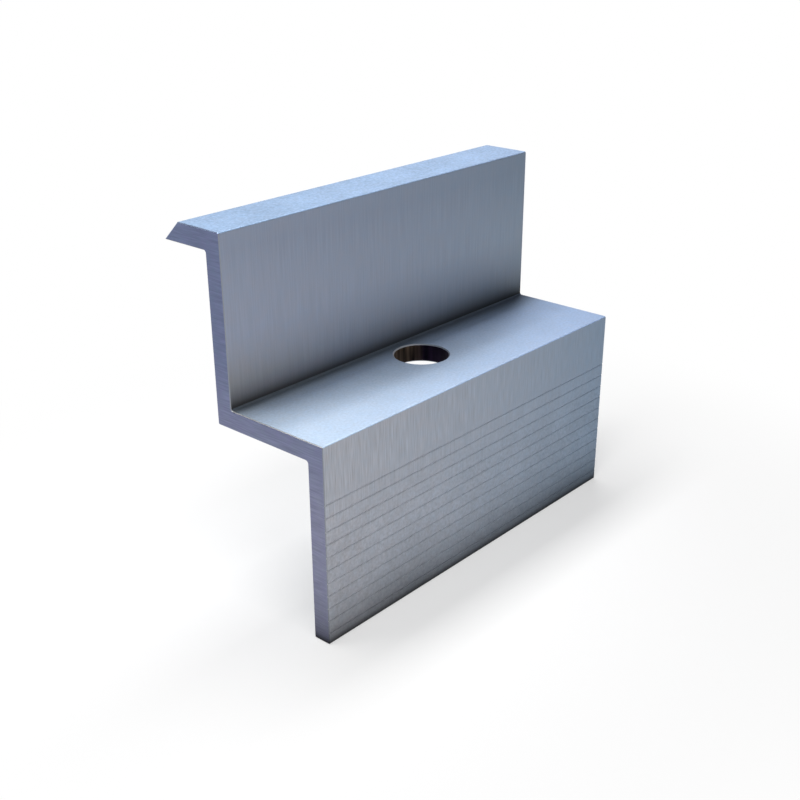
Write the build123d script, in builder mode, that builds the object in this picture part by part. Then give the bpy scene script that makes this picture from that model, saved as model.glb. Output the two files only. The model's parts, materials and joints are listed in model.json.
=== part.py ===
"""Solar end clamp, in millimetres: one saw-cut length of Z-shaped aluminium extrusion.

The lip grips the top of a solar module's frame and the web stands beside it. The shelf
takes the bolt that pulls the clamp down, and the leg stands on the mounting rail.

X runs along the extrusion, Y from the leg's front to the lip's point, and Z up. The
origin is on the bolt's axis, on the shelf's top face, where the bolt's head seats.
"""

import os

from build123d import *

# The length that is sawn off the extrusion, and the fine break on its cut edges
clamp_length = 51.0
cut_edge_break = 0.1

# The even wall of the section, and its rounded corners
wall = 2.2
outer_corner_radius = 0.2
inner_corner_radius = 0.3

# The module frame is as high as the lip's underside stands above the leg's foot
frame_height = 40.0
lip_above_shelf = 16.8

# The lip reaches this far over the frame, and its end leans back to the top
lip_reach = 6.4
lip_end_lean = 2.3

# The bolt's clearance hole, and the flat on either side of it along the shelf
bolt_hole_diameter = 6.4
bolt_hole_edge_break = 0.15
hole_to_leg = 3.75
hole_to_web = 1.15

# The fine grooves along the leg's front, from near the foot to a plain band
groove_pitch = 1.53
groove_width = 0.3
groove_depth = 0.07
lowest_groove_height = 1.4
plain_band_height = 6.5

# Places across the section, outwards from the bolt's axis
leg_back = -(bolt_hole_diameter / 2 + hole_to_leg)
leg_front = leg_back - wall
web_front = bolt_hole_diameter / 2 + hole_to_web
web_back = web_front + wall
lip_point = web_back + lip_reach
lip_top_end = lip_point - lip_end_lean

# Heights in the section, from the shelf's top face
shelf_top = 0.0
shelf_underside = shelf_top - wall
lip_underside = shelf_top + lip_above_shelf
lip_top = lip_underside + wall
foot = lip_underside - frame_height

# The grooves fill the leg's front up to the plain band
lowest_groove = foot + lowest_groove_height
grooved_height = shelf_top - plain_band_height - lowest_groove
groove_count = round(grooved_height / groove_pitch) + 1


def corners_at(sketch, *places):
    """The corners of a sketch that lie at these places."""
    return [sketch.vertices().sort_by_distance(place)[0] for place in places]


with BuildPart() as end_clamp:
    # The Z-shaped section. Only the lip's point, which bites on the frame, stays sharp.
    with BuildSketch(Plane.YZ) as section:
        with BuildLine():
            Polyline(
                (leg_front, foot),
                (leg_back, foot),
                (leg_back, shelf_underside),
                (web_back, shelf_underside),
                (web_back, lip_underside),
                (lip_point, lip_underside),
                (lip_top_end, lip_top),
                (web_front, lip_top),
                (web_front, shelf_top),
                (leg_front, shelf_top),
                close=True,
            )
        make_face()
        inner_corners = corners_at(
            section,
            (leg_back, shelf_underside),
            (web_back, lip_underside),
            (web_front, shelf_top),
        )
        fillet(inner_corners, inner_corner_radius)
        outer_corners = corners_at(
            section,
            (leg_front, foot),
            (leg_back, foot),
            (web_back, shelf_underside),
            (lip_top_end, lip_top),
            (web_front, lip_top),
            (leg_front, shelf_top),
        )
        fillet(outer_corners, outer_corner_radius)
    extrude(amount=clamp_length / 2, both=True)

    # Both sawn ends have the burr taken off all the way round
    cut_ends = end_clamp.faces().filter_by(Axis.X)
    chamfer(cut_ends.edges(), cut_edge_break)

    # The V-shaped grooves run the whole length of the leg's front. A low leg has none.
    if groove_count > 0:
        with BuildSketch(Plane.YZ):
            heights = [lowest_groove + step * groove_pitch for step in range(groove_count)]
            with Locations(*[(leg_front, height) for height in heights]):
                Polygon((0, groove_width / 2), (groove_depth, 0), (0, -groove_width / 2), align=None)
        extrude(amount=clamp_length / 2, both=True, mode=Mode.SUBTRACT)

    # The bolt hole through the shelf, at mid-length, with both rims broken
    with Locations((0, 0, shelf_top)):
        Hole(bolt_hole_diameter / 2, depth=wall)
    hole_rims = end_clamp.edges(Select.LAST).filter_by(GeomType.CIRCLE)
    chamfer(hole_rims, bolt_hole_edge_break)

end_clamp.part.label = "end_clamp"
os.makedirs("parts", exist_ok=True)
export_step(end_clamp.part, "parts/end_clamp.step")
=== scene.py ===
# %% [markdown]
# A lesson in finish and light: a sawn length of aluminium in a photo studio.
# The object is a solar end clamp, a Z-shaped aluminium extrusion that is sawn to length and
# drilled once. Its solid comes ready from the CAD step, true in every size, so nothing is
# modelled here. What is left to learn is what makes grey geometry look like metal: the
# marks that the die, the brush and the saw leave, and soft light for them to catch.

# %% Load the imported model
import json
import math

import bpy
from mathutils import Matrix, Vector


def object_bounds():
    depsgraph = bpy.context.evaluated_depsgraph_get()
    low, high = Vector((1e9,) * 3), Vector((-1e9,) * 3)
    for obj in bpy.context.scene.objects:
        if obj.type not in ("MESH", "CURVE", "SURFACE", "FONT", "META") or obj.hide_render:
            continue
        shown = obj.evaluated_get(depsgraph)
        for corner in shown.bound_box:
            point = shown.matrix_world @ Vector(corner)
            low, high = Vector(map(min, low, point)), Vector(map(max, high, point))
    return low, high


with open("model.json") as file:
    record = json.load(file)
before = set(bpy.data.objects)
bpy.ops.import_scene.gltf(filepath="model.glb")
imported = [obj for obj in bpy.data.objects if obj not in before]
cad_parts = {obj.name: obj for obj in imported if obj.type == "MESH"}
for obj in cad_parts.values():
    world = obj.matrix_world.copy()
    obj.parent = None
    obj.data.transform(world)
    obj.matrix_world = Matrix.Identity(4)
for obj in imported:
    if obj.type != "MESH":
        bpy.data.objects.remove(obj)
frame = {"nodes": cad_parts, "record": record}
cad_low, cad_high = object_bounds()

MM = 0.001
clamp = frame["nodes"]["end_clamp"]
size = (cad_high - cad_low) / MM
print(f"The clamp is {size.x:.1f} long, {size.y:.1f} deep and {size.z:.1f} high, in mm.")

# %% [markdown]
# The finishes differ from place to place: the walls are drawn and brushed, the ends are
# sawn, the hole is drilled, and the inner corners get painted shade. The material has to
# know where each place is. Numbers could be copied from the CAD model, but they would be
# wrong as soon as it changes. So thin rays are sent at the clamp, and each says where it
# meets the metal. Each starts a little clear of the faces round it. The hole's radius comes
# from the record that is packed with the model.

# %% Measure where the finishes change
end_x = cad_high.x / MM
foot = cad_low.z / MM
beside_the_hole = end_x / 2
clearance = 5.0
outside = cad_high.y / MM + clearance


def touch(start, towards):
    """Where a ray from a place in mm first meets the clamp, in mm."""
    hit, place, *_ = clamp.ray_cast(Vector(start) * MM, Vector(towards))
    assert hit, f"no metal beyond {start}"
    return place / MM


web_front = touch((beside_the_hole, 0, clearance), (0, 1, 0)).y
web_back = touch((beside_the_hole, outside, clearance), (0, -1, 0)).y
shelf_top = touch((beside_the_hole, 0, clearance), (0, 0, -1)).z
shelf_underside = touch((beside_the_hole, 0, -clearance), (0, 0, 1)).z
leg_back = touch((beside_the_hole, 0, foot + clearance), (0, -1, 0)).y

under_the_lip = (web_back + cad_high.y / MM) / 2
lip_underside = touch((beside_the_hole, under_the_lip, clearance), (0, 0, 1)).z
print(f"Web from {web_front:.2f} to {web_back:.2f}, shelf from {shelf_underside:.2f} to {shelf_top:.2f},")
print(f"lip's underside at {lip_underside:.2f}, leg's back at {leg_back:.2f}, foot at {foot:.2f}, in mm")

mounts = {mount["name"]: mount for mount in frame["record"]["mounts"]}
hole_radius = mounts["bolt_hole"]["dims"]["r_mm"]
print(f"The hole's radius is {hole_radius} mm")

# %% [markdown]
# The camera stands where the photographer stood. A simple way is to turn a camera by hand
# until it looks right. Here a camera was fitted to the clamp's corners instead, and is kept
# as four plain facts: which way it looks, how steeply down, what it aims at and from how
# far. The small shift slides the picture without turning the camera.

# %% Place the camera
view_azimuth = math.radians(48.96)
view_elevation = math.radians(25.14)
aim = Vector((-3.68, -1.75, -8.37)) * MM
view_distance = 136.9 * MM

camera_data = bpy.data.cameras.new("studio_camera")
camera_data.sensor_width = 36.0
camera_data.lens = 52.6
camera_data.shift_x = -0.015
camera_data.shift_y = 0.041
camera_data.clip_start = 0.01
camera = bpy.data.objects.new("studio_camera", camera_data)
bpy.context.scene.collection.objects.link(camera)
bpy.context.scene.camera = camera


def direction(azimuth, elevation):
    """The way towards a place in the sky. Azimuth is from +Y towards +X, in radians."""
    level = math.cos(elevation)
    return Vector((math.sin(azimuth) * level, math.cos(azimuth) * level, math.sin(elevation)))


camera.location = aim - view_distance * direction(view_azimuth, -view_elevation)
camera.rotation_euler = (math.pi / 2 - view_elevation, 0, -view_azimuth)
print("Camera at", [round(value / MM, 1) for value in camera.location], "mm")

# %% [markdown]
# A shader is a graph of small nodes, and its code soon gets long. A few helpers keep it
# short. The first one puts a number or another node's output into a socket, and the rest
# each make one kind of node that this lesson uses often.

# %% Helpers that make one node
def put(tree, value, socket):
    """Links an output to a socket, or writes a number or colour on it."""
    if isinstance(value, bpy.types.NodeSocket):
        tree.links.new(value, socket)
    else:
        socket.default_value = value


def maths(tree, operation, *values):
    """One sum of one, two or three numbers."""
    node = tree.nodes.new("ShaderNodeMath")
    node.operation = operation
    for socket, value in zip(node.inputs, values):
        put(tree, value, socket)
    return node.outputs[0]


def spread(tree, value, low, high, to_low=0.0, to_high=1.0, smooth=False):
    """Maps low to high onto to_low to to_high, and holds it beyond them."""
    node = tree.nodes.new("ShaderNodeMapRange")
    node.interpolation_type = "SMOOTHSTEP" if smooth else "LINEAR"
    for name, number in zip(("From Min", "From Max", "To Min", "To Max"), (low, high, to_low, to_high)):
        put(tree, number, node.inputs[name])
    put(tree, value, node.inputs["Value"])
    return node.outputs["Result"]


def mix(tree, amount, first, second):
    """A colour between two colours. Sockets 6 and 7 of this node take colours."""
    node = tree.nodes.new("ShaderNodeMix")
    node.data_type = "RGBA"
    put(tree, amount, node.inputs["Factor"])
    put(tree, first, node.inputs[6])
    put(tree, second, node.inputs[7])
    return node.outputs[2]


def blend_value(tree, amount, first, second):
    """A number between two numbers. Sockets 2 and 3 of the same node take numbers."""
    node = tree.nodes.new("ShaderNodeMix")
    node.data_type = "FLOAT"
    put(tree, amount, node.inputs["Factor"])
    put(tree, first, node.inputs[2])
    put(tree, second, node.inputs[3])
    return node.outputs[0]


def scaled(tree, vector, factor):
    """A place or colour times a number."""
    node = tree.nodes.new("ShaderNodeVectorMath")
    node.operation = "SCALE"
    put(tree, vector, node.inputs[0])
    put(tree, factor, node.inputs["Scale"])
    return node.outputs[0]


def tinted(tree, colour, tint):
    """A colour times another colour."""
    node = tree.nodes.new("ShaderNodeVectorMath")
    node.operation = "MULTIPLY"
    put(tree, colour, node.inputs[0])
    put(tree, tint, node.inputs[1])
    return node.outputs[0]


def noise(tree, place, detail, roughness=0.5):
    """Soft noise from 0 to 1, with bumps about as wide as one unit of the place."""
    node = tree.nodes.new("ShaderNodeTexNoise")
    node.inputs["Scale"].default_value = 1.0
    node.inputs["Detail"].default_value = detail
    node.inputs["Roughness"].default_value = roughness
    put(tree, place, node.inputs["Vector"])
    return node.outputs["Fac"]


def combine(tree, *values):
    """A place from its three numbers."""
    node = tree.nodes.new("ShaderNodeCombineXYZ")
    for socket, value in zip(node.inputs, values):
        put(tree, value, socket)
    return node.outputs["Vector"]


def separate(tree, vector):
    """The three numbers of a place or a direction."""
    node = tree.nodes.new("ShaderNodeSeparateXYZ")
    put(tree, vector, node.inputs[0])
    return node.outputs


print("One-node helpers: put, maths, spread, mix, blend_value, scaled, tinted, noise, combine, separate")

# %% [markdown]
# Some small sums come back again and again: a product, the distance from a line, a darkness
# that fades with that distance. Each becomes a helper of its own. A part of the graph that
# is used several times with other numbers becomes a node group instead, which Blender keeps
# once and shows as one node with named sockets.

# %% Helpers that join several nodes
NUMBER = "NodeSocketFloat"
VECTOR = "NodeSocketVector"
noise_low, noise_high = 0.3, 0.7


def product(tree, first, *others):
    """Numbers multiplied together."""
    for other in others:
        first = maths(tree, "MULTIPLY", first, other)
    return first


def distance(tree, one_way, other_way):
    """How far a point is from a line, from how far it is from it in two directions."""
    squares = [maths(tree, "MULTIPLY", step, step) for step in (one_way, other_way)]
    return maths(tree, "SQRT", maths(tree, "ADD", *squares))


def fading(tree, away, reach, power=1.0):
    """1 at the place itself, fading with the distance. A higher power holds on for longer."""
    in_reaches = maths(tree, "DIVIDE", away, reach)
    steepened = maths(tree, "POWER", in_reaches, power)
    return maths(tree, "EXPONENT", maths(tree, "MULTIPLY", steepened, -1.0))


def shade(tree, amount, depth):
    """1 where the amount is 0, falling to 1 - depth where it is 1."""
    return maths(tree, "SUBTRACT", 1.0, maths(tree, "MULTIPLY", amount, depth))


def noise_as_tone(tree, value):
    """Most noise lies in the middle of 0 to 1, so its middle is stretched to -1 to 1."""
    return spread(tree, value, noise_low, noise_high, -1.0, 1.0)


def new_group(name, inputs, outputs):
    """An empty node group with named sockets, and its start and end."""
    group = bpy.data.node_groups.new(name, "ShaderNodeTree")
    for socket_name, kind, value in inputs:
        socket = group.interface.new_socket(name=socket_name, in_out="INPUT", socket_type=kind)
        if value is not None:
            socket.default_value = value
    for socket_name, kind in outputs:
        group.interface.new_socket(name=socket_name, in_out="OUTPUT", socket_type=kind)
    start = group.nodes.new("NodeGroupInput")
    end = group.nodes.new("NodeGroupOutput")
    return group, start.outputs, end.inputs


def use_group(tree, group, **values):
    """Places a group in a tree with its own values, and gives its outputs."""
    node = tree.nodes.new("ShaderNodeGroup")
    node.node_tree = group
    for name, value in values.items():
        put(tree, value, node.inputs[name.replace("_", " ").capitalize()])
    return node.outputs


print("Helpers of several nodes: product, distance, fading, shade, noise_as_tone, new_group, use_group")

# %% [markdown]
# Brushing and sawing both leave fine lines, long one way and narrow the other. Such lines
# could be drawn one by one, but a noise that is squeezed across and stretched along gives
# thousands of them at no cost. Brush and saw differ only in width, length and direction, so
# one group makes both. A second, broader noise joins lines into faint bands, as a real
# brush does where it is worn.

# %% Group: fine lines
band_share = 0.14
band_widening = 5.0
fine_lines, given, result = new_group(
    "fine_lines",
    [("Across", NUMBER, 0.0), ("Along", NUMBER, 0.0), ("Width", NUMBER, 0.2), ("Length", NUMBER, 20.0)],
    [("Tone", NUMBER)],
)


def line_noise(widening, seed):
    """Lines as wide as the group's width times the widening."""
    width = maths(fine_lines, "MULTIPLY", given["Width"], widening)
    across = maths(fine_lines, "DIVIDE", given["Across"], width)
    along = maths(fine_lines, "DIVIDE", given["Along"], given["Length"])
    return noise(fine_lines, combine(fine_lines, across, along, seed), detail=1.0)


lines = line_noise(widening=1.0, seed=0.0)
bands = line_noise(band_widening, seed=7.0)
lines_and_bands = blend_value(fine_lines, band_share, lines, bands)
put(fine_lines, noise_as_tone(fine_lines, lines_and_bands), result["Tone"])
print("Group fine_lines has", len(fine_lines.nodes), "nodes")

# %% [markdown]
# Where nothing was brushed, the metal keeps the soft mottle of the etching bath that it went
# through before it was anodised. A picture of etched metal would do, but it repeats and it
# blurs close up. Noise doesn't: its grains are under half a millimetre, a weak broader cloud
# lies under them, and one group makes both sizes.

# %% Group: etched mottle
cloud_share = 0.3
etched_mottle, given, result = new_group(
    "etched_mottle",
    [("Place", VECTOR, None), ("Grain", NUMBER, 0.35), ("Cloud", NUMBER, 6.0)],
    [("Tone", NUMBER)],
)


def mottle_noise(grain):
    """Noise with grains of this size, in mm."""
    in_grains = scaled(etched_mottle, given["Place"], maths(etched_mottle, "DIVIDE", 1.0, grain))
    return noise(etched_mottle, in_grains, detail=2.0, roughness=0.6)


grains = mottle_noise(given["Grain"])
broad_clouds = mottle_noise(given["Cloud"])
grains_and_clouds = blend_value(etched_mottle, cloud_share, grains, broad_clouds)
put(etched_mottle, noise_as_tone(etched_mottle, grains_and_clouds), result["Tone"])
print("Group etched_mottle has", len(etched_mottle.nodes), "nodes")

# %% [markdown]
# This group paints shade into an inner corner: the colour darkens towards the corner's
# line. The light alone makes a corner only a little darker, so the painted shade does the
# rest. It depends only on how far a point is from the corner's line, which is a distance
# in the cross section. It must not shine through to the other side of the wall, so the
# group also asks on which side of the line the corner opens.

# %% Group: painted corner shade
corner_slack = 0.05
dark_corner, given, result = new_group(
    "dark_corner",
    [
        ("Across", NUMBER, 0.0),
        ("Up", NUMBER, 0.0),
        ("Corner across", NUMBER, 0.0),
        ("Corner up", NUMBER, 0.0),
        ("Opens across", NUMBER, 1.0),
        ("Opens up", NUMBER, 1.0),
        ("Reach", NUMBER, 2.0),
        ("Depth", NUMBER, 0.8),
        ("Power", NUMBER, 1.0),
    ],
    [("Shade", NUMBER)],
)


def into_the_open(axis):
    """How far a point is from the corner's line along one axis, on the open side."""
    away = maths(dark_corner, "SUBTRACT", given[axis], given[f"Corner {axis.lower()}"])
    return maths(dark_corner, "MULTIPLY", away, given[f"Opens {axis.lower()}"])


across_away, up_away = into_the_open("Across"), into_the_open("Up")
corner_distance = distance(dark_corner, across_away, up_away)
# Painted shade: darkest at the corner's line, fading with the distance from it
darkness = fading(dark_corner, corner_distance, given["Reach"], given["Power"])
least_away = maths(dark_corner, "MINIMUM", across_away, up_away)
open_side = maths(dark_corner, "GREATER_THAN", least_away, -corner_slack)
darkness = product(dark_corner, darkness, open_side)
put(dark_corner, shade(dark_corner, darkness, given["Depth"]), result["Shade"])
print("Group dark_corner has", len(dark_corner.nodes), "nodes")

# %% [markdown]
# The clamp is one piece of one metal. It could be cut into faces with a material each, but
# then every finish would stop hard at an edge. So it has one material, and masks say which
# finish shows where. A mask is 1 where a finish shows and 0 elsewhere. The masks come from
# the object's own coordinates, in millimetres, and from the way each face looks, so they
# stay right if the clamp is moved or turned.

# %% The aluminium: masks
cut_edge = 0.10
rim_width = 0.15
skin_depth = 0.02
wall_slack = 0.05
level_from = 0.45
rounded_below = 0.97
backward_from = 0.5

aluminium = bpy.data.materials.new("anodised_aluminium")
aluminium.use_nodes = True
tree = aluminium.node_tree
shader = tree.nodes["Principled BSDF"]

coordinates = tree.nodes.new("ShaderNodeTexCoord")
place = scaled(tree, coordinates.outputs["Object"], 1 / MM)
x, y, z = separate(tree, place)
_, facing_y, facing_z = separate(tree, coordinates.outputs["Normal"])

along = spread(tree, x, -end_x, end_x)
from_middle = maths(tree, "ABSOLUTE", x)
sawn = maths(tree, "GREATER_THAN", from_middle, end_x - skin_depth)
bare_edge_and_highlight = maths(tree, "GREATER_THAN", from_middle, end_x - cut_edge)
from_axis = distance(tree, x, y)
drilled = maths(tree, "LESS_THAN", from_axis, hole_radius + skin_depth)
rim = maths(tree, "LESS_THAN", from_axis, hole_radius + rim_width)

up_or_down = maths(tree, "ABSOLUTE", facing_z)
level = maths(tree, "GREATER_THAN", up_or_down, level_from)
rounded = product(tree, level, maths(tree, "LESS_THAN", up_or_down, rounded_below))
on_leg = maths(tree, "LESS_THAN", y, leg_back + wall_slack)
on_lip = maths(tree, "GREATER_THAN", z, lip_underside - wall_slack)
on_shelf = maths(tree, "GREATER_THAN", level, on_lip)
on_lip_end = product(tree, on_lip, maths(tree, "GREATER_THAN", facing_y, backward_from))
on_web_front = maths(tree, "LESS_THAN", y, (web_front + web_back) / 2)
print("Masks for ends, cut edges, hole, rim, rounded edges, leg, lip, shelf, lip's end and web's front")

# %% [markdown]
# Anodised aluminium isn't one grey, and one colour for all would look like plastic. Each face
# has a colour for its near and its far end, and runs slowly from one to the other. Over the
# metal's own bluish grey these colours hold painted light and shade: the walls are painted
# lighter and warmer at one end of the piece and darker and bluer at the other, and the level
# faces are painted bluer than the upright ones, as the light from above falls on them.

# %% The aluminium: face colours with painted light and shade
# Painted light and shade: each face's near and far colour holds how the light falls on it, over the
# metal's own colour
lit_near_and_far = {
    "web": ((0.49, 0.52, 0.61, 1), (0.32, 0.38, 0.46, 1)),
    "leg": ((0.63, 0.65, 0.71, 1), (0.33, 0.42, 0.54, 1)),
    "shelf": ((0.54, 0.64, 0.76, 1), (0.45, 0.57, 0.78, 1)),
    "lip": ((0.32, 0.43, 0.59, 1), (0.39, 0.51, 0.70, 1)),
}
lit_face_colour = {face: mix(tree, along, near, far) for face, (near, far) in lit_near_and_far.items()}
print("Colours from the near end to the far end of", ", ".join(lit_face_colour))

# %% [markdown]
# A handled piece of metal has places that are off its colour. The web is a warmer grey low
# down at its near end. It is also painted lighter low down and darker and bluer towards the
# lip, painted light and shade. Over the whole skin lie clouds a few millimetres wide that
# are slightly cooler or slightly warmer.

# %% The aluminium: warm patch, painted shade on the web, and clouds
warm_patch_colour = (0.53, 0.52, 0.53, 1)
patch_full, patch_gone = 3.0, 8.0
painted_low_web_light = (1.065, 1.07, 1.08, 1)
painted_high_web_shade = (0.85, 0.885, 0.93, 1)
cool_tint = (0.975, 1.0, 1.015, 1)
warm_tint = (1.025, 1.0, 0.985, 1)

low_on_web = spread(tree, z, patch_full, patch_gone, 1.0, 0.0)
at_near_end = spread(tree, x, -end_x, -end_x / 3, 1.0, 0.0)
in_warm_patch = product(tree, low_on_web, at_near_end, on_web_front)
web_colour = mix(tree, in_warm_patch, lit_face_colour["web"], warm_patch_colour)
# Painted light and shade: lighter low on the web, darker and bluer towards the lip
towards_lip = spread(tree, z, lip_underside / 2, lip_underside)
web_colour = tinted(tree, web_colour, mix(tree, towards_lip, painted_low_web_light, painted_high_web_shade))

upright_colour = mix(tree, on_leg, web_colour, lit_face_colour["leg"])
level_colour = mix(tree, on_lip, lit_face_colour["shelf"], lit_face_colour["lip"])
skin = mix(tree, level, upright_colour, level_colour)
clouds = use_group(tree, etched_mottle, place=place, grain=1.0, cloud=4.0)["Tone"]
skin = tinted(tree, skin, mix(tree, spread(tree, clouds, -1.0, 1.0), cool_tint, warm_tint))
print("Skin colour joined from", len(lit_face_colour), "faces, a stain and clouds")

# %% [markdown]
# On that colour lie the marks. The leg was brushed in short upright strokes, strongest at
# its near end and above the grooves, and the web in longer and fainter ones. The level
# faces, and the leg between its grooves, show the etched mottle. A mark is a number between
# -1 and 1 that makes the colour darker or lighter, so each gets a strength.

# %% The aluminium: brush strokes and mottle
near_stroke_strength, far_stroke_strength = 0.13, 0.06
low_stroke_fade = 0.7
low_mottle_strength = 0.14
web_stroke_strength = 0.045
shelf_mottle_strength, lip_mottle_strength = 0.10, 0.20

leg_strokes = use_group(tree, fine_lines, across=x, along=z, width=0.13, length=3.0)["Tone"]
web_strokes = use_group(tree, fine_lines, across=x, along=z, width=0.16, length=6.0)["Tone"]
mottle = use_group(tree, etched_mottle, place=place, grain=0.3, cloud=5.0)["Tone"]

low_on_leg = spread(tree, z, foot / 2, foot / 5, 1.0, 0.0)
stroke_strength = spread(tree, along, 0.0, 1.0, near_stroke_strength, far_stroke_strength)
stroke_strength = product(tree, stroke_strength, shade(tree, low_on_leg, low_stroke_fade))
stroke_marks = product(tree, leg_strokes, stroke_strength)
low_marks = product(tree, mottle, low_on_leg, low_mottle_strength)
leg_marks = maths(tree, "ADD", stroke_marks, low_marks)

web_marks = product(tree, web_strokes, web_stroke_strength)
mottle_strength = blend_value(tree, on_lip, shelf_mottle_strength, lip_mottle_strength)
level_marks = product(tree, mottle, mottle_strength)
marks = blend_value(tree, level, blend_value(tree, on_leg, web_marks, leg_marks), level_marks)
tone = maths(tree, "ADD", 1.0, marks)
print("Leg and web brushed upright, lip and shelf mottled")

# %% [markdown]
# Then the three inner corners get painted shade, each a factor on the tone. On the upright
# walls the painted shade reaches high and thins out evenly. On the level faces it is weaker
# and ends sooner. Towards the far end of the piece it grows wider.

# %% The aluminium: painted shade in the inner corners
upright_reach, level_reach = 2.0, 1.8
upright_depth, level_depth = 0.98, 0.75
upright_power, level_power = 1.0, 2.0
near_width, far_growth = 0.78, 0.72

corner_width = maths(tree, "MULTIPLY_ADD", maths(tree, "POWER", along, 2.0), far_growth, near_width)
corner_reach = product(tree, blend_value(tree, level, upright_reach, level_reach), corner_width)
corner_depth = blend_value(tree, level, upright_depth, level_depth)
corner_power = blend_value(tree, level, upright_power, level_power)

inner_corners = {
    "web and shelf": (web_front, shelf_top, -1, 1),
    "web and lip": (web_back, lip_underside, 1, -1),
    "leg and shelf": (leg_back, shelf_underside, 1, -1),
}
# Painted shade in each inner corner, multiplied into the tone
for corner_across, corner_up, opens_across, opens_up in inner_corners.values():
    corner_shade = use_group(
        tree,
        dark_corner,
        across=y,
        up=z,
        corner_across=corner_across,
        corner_up=corner_up,
        opens_across=opens_across,
        opens_up=opens_up,
        reach=corner_reach,
        depth=corner_depth,
        power=corner_power,
    )["Shade"]
    tone = product(tree, tone, corner_shade)
print("Dark corners between", ", ".join(inner_corners))

# %% [markdown]
# The rest of the painted shade is broader. The foot is painted darker as it nears the floor,
# with a darker line at its very edge. A soft wide painted shade lies on the shelf round the
# hole, and the slanted end of the lip is painted darker than its top. Rounded edges get the
# opposite, a painted highlight that makes them lighter.

# %% The aluminium: painted shade at the foot, round the hole and on the lip's end, and painted highlights on rounded edges
foot_reach, foot_depth = 2.6, 0.85
foot_line_height, foot_line_tone = 0.8, 0.25
halo_centre_y, halo_half_length, halo_half_width, halo_depth = -2.5, 17.0, 4.0, 0.38
lip_end_depth = 0.25
leg_edge_highlight, other_edge_highlight = 1.25, 1.05

# Painted shade: darker towards the floor, with a darker line at the foot's edge
above_foot = maths(tree, "SUBTRACT", z, foot)
near_foot = fading(tree, above_foot, foot_reach)
foot_line = spread(tree, above_foot, 0.0, foot_line_height, foot_line_tone, 1.0)
foot_shade = product(tree, shade(tree, near_foot, foot_depth), foot_line)

# Painted shade: a soft wide darkening on the shelf round the hole
halo_along = maths(tree, "DIVIDE", x, halo_half_length)
halo_across = maths(tree, "DIVIDE", maths(tree, "SUBTRACT", y, halo_centre_y), halo_half_width)
halo = fading(tree, distance(tree, halo_along, halo_across), 1.0, power=2.0)
halo_shade = shade(tree, product(tree, halo, on_shelf), halo_depth)

# Painted shade: the lip's slanted end is darker than its top
lip_end_shade = shade(tree, on_lip_end, lip_end_depth)
# Painted highlight: rounded edges are lighter, most on the leg
painted_edge_highlight = blend_value(tree, rounded, 1.0, blend_value(tree, on_leg, other_edge_highlight, leg_edge_highlight))
tone = product(tree, tone, foot_shade, halo_shade, lip_end_shade, painted_edge_highlight)
colour = scaled(tree, skin, tone)
print("Shades at the foot, round the hole and on the lip's end, and polish on the rounded edges")

# %% [markdown]
# The saw leaves the ends rougher and darker, with lines across them and violet clouds. On
# them the colour is also painted lighter on the leg than higher up, and painted darker near
# the foot, painted light and shade. Where the burr was taken off, a thin bare edge runs all
# round. Its colour is a painted highlight, bright where it faces up and dull where it is
# upright, with the same painted shade near the foot.

# %% The aluminium: sawn ends
low_end_colour = (0.33, 0.35, 0.46, 1)
high_end_colour = (0.205, 0.255, 0.39, 1)
violet = (0.27, 0.25, 0.46, 1)
violet_share = 0.4
saw_strength = 0.15
shaded_upright_edge = (0.27, 0.29, 0.33, 1)
shelf_edge_highlight = (0.97, 0.98, 1.0, 1)
lip_edge_highlight = (0.45, 0.56, 0.80, 1)
dull_until, bright_from = 0.2, 0.6

saw_marks = use_group(tree, fine_lines, across=z, along=y, width=0.14, length=3.0)["Tone"]
end_clouds = use_group(tree, etched_mottle, place=place, grain=0.8, cloud=3.0)["Tone"]
# Painted light and shade: the ends are lighter low on the leg and darker higher up
rise = spread(tree, z, foot / 3, lip_underside / 3)
end_colour = mix(tree, rise, low_end_colour, high_end_colour)
end_colour = mix(tree, spread(tree, end_clouds, -1.0, 1.0, 0.0, violet_share), end_colour, violet)
end_tone = maths(tree, "ADD", 1.0, product(tree, saw_marks, saw_strength))
# Painted shade: the ends darken near the foot, as the walls do
end_colour = scaled(tree, end_colour, product(tree, end_tone, foot_shade))

# Painted highlight: the bare edge is bright where it faces up and dark where it is upright
faces_up = spread(tree, facing_z, dull_until, bright_from)
edge_colour = mix(tree, faces_up, shaded_upright_edge, mix(tree, on_lip, shelf_edge_highlight, lip_edge_highlight))
colour = mix(tree, bare_edge_and_highlight, colour, scaled(tree, edge_colour, foot_shade))
colour = mix(tree, sawn, colour, end_colour)
print("Sawn ends with a bare edge of", cut_edge, "mm")

# %% [markdown]
# The drill leaves the hole's wall in upright streaks, and the wall is painted dark, a painted
# shade inside the hole. One side is brown, and the other is nearly black. A thin rim shows
# where the hole's edge was broken, and a painted highlight makes it brighter on the brown
# side. Both change with the angle round the hole's axis, which the arc tangent gives.

# %% The aluminium: drilled hole
dark_hole_shade = (0.02, 0.012, 0.03, 1)
hole_brown = (0.30, 0.21, 0.14, 1)
streak_colour = (0.004, 0.004, 0.008, 1)
brown_from, brown_to = math.radians(35), math.radians(75)
shaded_rim = (0.18, 0.20, 0.24, 1)
rim_highlight = (0.60, 0.62, 0.66, 1)
highlight_from, highlight_to = math.radians(20), math.radians(100)

angle = maths(tree, "ARCTAN2", y, x)
round_the_hole = product(tree, angle, hole_radius)
drill_streaks = use_group(tree, fine_lines, across=round_the_hole, along=z, width=0.7, length=8.0)["Tone"]
# Painted shade: the hole's wall is nearly black, and brown on one side
hole_wall_tone = mix(tree, spread(tree, angle, brown_from, brown_to), dark_hole_shade, hole_brown)
hole_colour = mix(tree, spread(tree, drill_streaks, -1.0, 1.0), streak_colour, hole_wall_tone)
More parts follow.
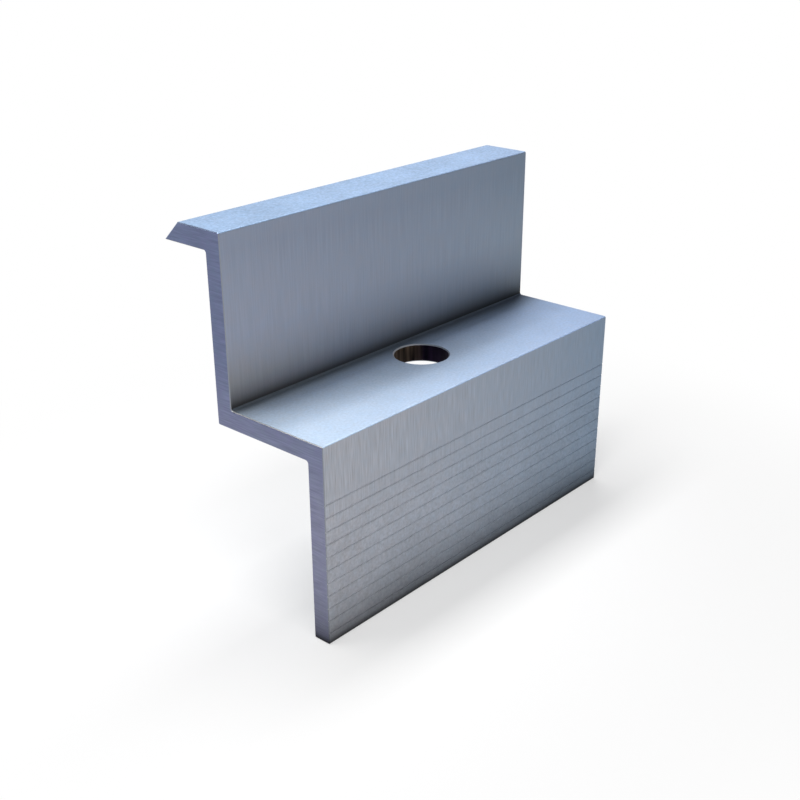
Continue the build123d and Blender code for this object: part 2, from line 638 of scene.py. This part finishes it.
# Painted highlight: the rim is lighter on one side of the hole
rim_colour = mix(tree, spread(tree, angle, highlight_from, highlight_to), shaded_rim, rim_highlight)
colour = mix(tree, rim, colour, rim_colour)
colour = mix(tree, drilled, colour, hole_colour)
put(tree, colour, shader.inputs["Base Color"])
print("Drilled hole with a rim of", rim_width, "mm")

# %% [markdown]
# Metallic is 1, because the anodised skin is so thin that the light meets metal through it.
# Roughness decides how far the metal blurs what it mirrors: the walls mirror the paper floor
# softly, and the sharper bare edges catch the lamps. The same marks that change the colour
# also drive a very low bump, so that they answer to the light.

# %% The aluminium: gloss and relief
upright_roughness, level_roughness = 0.68, 0.70
edge_roughness, end_roughness = 0.40, 0.65
relief_strength = 0.25
relief_height = 0.005 * MM

shader.inputs["Metallic"].default_value = 1.0
rough = blend_value(tree, level, upright_roughness, level_roughness)
rough = blend_value(tree, bare_edge_and_highlight, rough, edge_roughness)
rough = blend_value(tree, sawn, rough, end_roughness)
put(tree, rough, shader.inputs["Roughness"])

relief = blend_value(tree, on_leg, web_strokes, leg_strokes)
relief = blend_value(tree, level, relief, mottle)
relief = blend_value(tree, sawn, relief, saw_marks)
bump = tree.nodes.new("ShaderNodeBump")
bump.inputs["Strength"].default_value = relief_strength
bump.inputs["Distance"].default_value = relief_height
put(tree, relief, bump.inputs["Height"])
put(tree, bump.outputs["Normal"], shader.inputs["Normal"])

clamp.data.materials.clear()
clamp.data.materials.append(aluminium)
print("Material", aluminium.name, "has", len(tree.nodes), "nodes")

# %% [markdown]
# The floor is a wide sheet of white paper, and it lights the clamp as much as the lamps do,
# because the upright walls mirror it. Further off the lamps fade, and real photographers
# light the far paper on its own until it is pure white. More lamps could do that here too,
# but they would also light the clamp. So the far paper glows, for the camera and for
# reflections alone. Near the clamp it glows half as much, so that it still takes the shadow.
# A low wall of the same paper stands all round, so that other views have a plain background.

# %% The paper floor and wall
paper_white = (0.95, 0.95, 0.95, 1)
pool_radius = 30.0
glow_radius = 75.0
near_glow = 0.5
wall_distance = 1.5
wall_height = 0.36


def background_rays(tree):
    """1 for rays of the camera, reflections and clear things, and 0 for rays that only carry light."""
    path = tree.nodes.new("ShaderNodeLightPath")
    seen = maths(tree, "MAXIMUM", path.outputs["Is Camera Ray"], path.outputs["Is Glossy Ray"])
    return maths(tree, "MAXIMUM", seen, path.outputs["Is Transmission Ray"])


def glowing_paper(name, glow_from, glow_to, least_glow):
    """Paper that glows least near its centre, and fully beyond a distance from it, in mm."""
    material = bpy.data.materials.new(name)
    material.use_nodes = True
    tree = material.node_tree
    paper = tree.nodes["Principled BSDF"]
    paper.inputs["Base Color"].default_value = paper_white
    paper.inputs["Roughness"].default_value = 1.0
    paper.inputs["Specular IOR Level"].default_value = 0.0
    coordinates = tree.nodes.new("ShaderNodeTexCoord")
    radius = tree.nodes.new("ShaderNodeVectorMath")
    radius.operation = "LENGTH"
    put(tree, coordinates.outputs["Object"], radius.inputs[0])
    far = spread(tree, radius.outputs["Value"], glow_from * MM, glow_to * MM, least_glow, 1.0, smooth=True)
    glow = tree.nodes.new("ShaderNodeEmission")
    both = tree.nodes.new("ShaderNodeMixShader")
    put(tree, product(tree, far, background_rays(tree)), both.inputs["Fac"])
    put(tree, paper.outputs["BSDF"], both.inputs[1])
    put(tree, glow.outputs["Emission"], both.inputs[2])
    put(tree, both.outputs["Shader"], tree.nodes["Material Output"].inputs["Surface"])
    return material


bpy.ops.mesh.primitive_plane_add(size=4 * wall_distance, location=(0, 0, cad_low.z))
floor = bpy.context.object
floor.name = "paper_floor"
floor.data.materials.append(glowing_paper("floor_paper", pool_radius, glow_radius, near_glow))
bpy.ops.mesh.primitive_cylinder_add(
    vertices=96,
    radius=wall_distance,
    depth=wall_height,
    end_fill_type="NOTHING",
    location=(0, 0, cad_low.z + wall_height / 2),
)
wall = bpy.context.object
wall.name = "paper_wall"
wall.data.materials.append(glowing_paper("wall_paper", glow_from=0.0, glow_to=1.0, least_glow=1.0))
print(f"Floor {4 * wall_distance} m wide with a wall {wall_height} m high, {wall_distance} m away")

# %% [markdown]
# Two softboxes hang flat over the clamp. The long one, above and a little behind, lights the
# shelf and the lip, and being near it lets the shelf darken towards the web. The short one,
# over the near end of the leg, fills the front. They are set so that the paper under them
# is just white, and then a colour on the clamp comes out about as it is written.

# %% Studio light
sky_strength = 0.01


def softbox(name, centre, width, depth, radiance):
    """A lamp panel that hangs over the clamp and faces down. Places and sizes are in mm."""
    data = bpy.data.lights.new(name, "AREA")
    data.shape = "RECTANGLE"
    data.size = width * MM
    data.size_y = depth * MM
    data.energy = radiance * math.pi * data.size * data.size_y
    lamp = bpy.data.objects.new(name, data)
    bpy.context.scene.collection.objects.link(lamp)
    lamp.location = Vector(centre) * MM
    print(f"{name} gives {data.energy:.2f} W")


softbox("key_softbox", centre=(0, 45, 150), width=225, depth=45, radiance=9.96)
softbox("front_softbox", centre=(-67, -45, 150), width=90, depth=45, radiance=11.3)

world = bpy.data.worlds.new("studio")
world.use_nodes = True
sky = world.node_tree.nodes["Background"]
sky.inputs["Color"].default_value = (1, 1, 1, 1)
sky.inputs["Strength"].default_value = sky_strength
bpy.context.scene.world = world
bpy.context.scene.view_settings.view_transform = "Standard"
